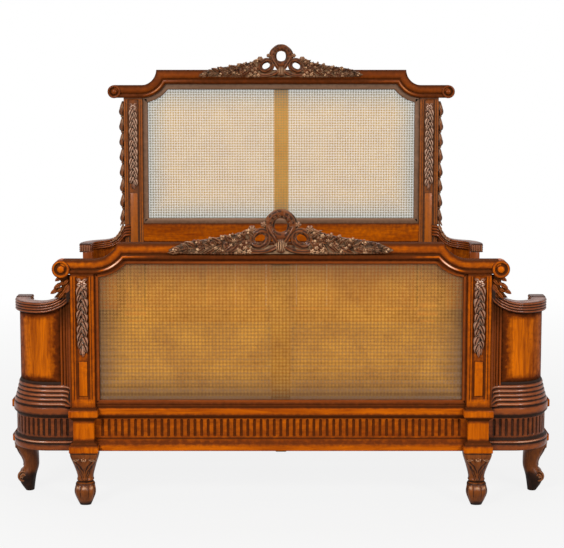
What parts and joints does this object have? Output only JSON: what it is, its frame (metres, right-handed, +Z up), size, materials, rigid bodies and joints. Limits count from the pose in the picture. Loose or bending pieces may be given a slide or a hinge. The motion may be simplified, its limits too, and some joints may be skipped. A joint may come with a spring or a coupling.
{
  "type": "caned bed frame",
  "caption": "Carved hardwood bed with cane panels in head and foot, pierced crests, scrolled rails, and side wings that curve round the corners on cabriole legs.",
  "frame": {"origin": "on the floor, below the middle of the bed's box", "axes": "+X across the bed, +Y from the foot to the head, +Z up"},
  "size_m": [2, 2.17, 1.679],
  "materials": {
    "polished_wood": "orange-brown stained hardwood under a glossy dark glaze",
    "brown_wood": "red-brown stained hardwood, mouldings shaded with dark glaze",
    "carved_wood": "carved hardwood with near-black glaze in its recesses and polished high spots",
    "cane": "woven natural cane, satin",
    "bare_wood": "planed softwood under a thin dark stain",
    "steel": "zinc-plated steel hardware"
  },
  "bodies": {
    "root": {"foot_post_l": "polished_wood", "foot_post_r": "polished_wood", "foot_leg_l": "carved_wood", "foot_leg_r": "carved_wood", "foot_top_rail": "polished_wood", "foot_crest": "carved_wood", "foot_base_rail": "polished_wood", "foot_cane": "cane", "foot_cane_strips": "polished_wood", "foot_stile": "polished_wood", "foot_garlands": "carved_wood", "foot_leaf_drops": "carved_wood", "foot_wing_post_l": "polished_wood", "foot_wing_post_r": "polished_wood", "foot_wing_leg_l": "carved_wood", "foot_wing_leg_r": "carved_wood", "foot_wing_wall_l": "polished_wood", "foot_wing_wall_r": "polished_wood", "foot_wing_cap_l": "brown_wood", "foot_wing_cap_r": "brown_wood", "foot_wing_base_l": "brown_wood", "foot_wing_base_r": "brown_wood", "foot_wing_flares": "brown_wood", "foot_wing_reeds": "brown_wood", "head_post_l": "polished_wood", "head_post_r": "polished_wood", "head_leg_l": "carved_wood", "head_leg_r": "carved_wood", "head_top_rail": "polished_wood", "head_crest": "carved_wood", "head_base_rail": "polished_wood", "head_cane": "cane", "head_cane_strips": "brown_wood", "head_stile": "polished_wood", "head_mid_rail": "polished_wood", "head_board": "brown_wood", "head_garlands": "carved_wood", "head_husks": "carved_wood", "head_wing_post_l": "polished_wood", "head_wing_post_r": "polished_wood", "head_wing_leg_l": "carved_wood", "head_wing_leg_r": "carved_wood", "head_wing_wall_l": "polished_wood", "head_wing_wall_r": "polished_wood", "head_wing_cap_l": "brown_wood", "head_wing_cap_r": "brown_wood", "head_wing_base_l": "brown_wood", "head_wing_base_r": "brown_wood", "head_wing_flares": "brown_wood", "head_wing_reeds": "brown_wood", "side_rail_l": "polished_wood", "side_rail_r": "polished_wood", "side_bearers": "bare_wood", "middle_beam": "bare_wood", "beam_stirrups": "steel", "beam_props": "bare_wood", "slats": "bare_wood", "bed_bolts": "steel", "bolt_nuts": "steel"}
  },
  "joints": []
}
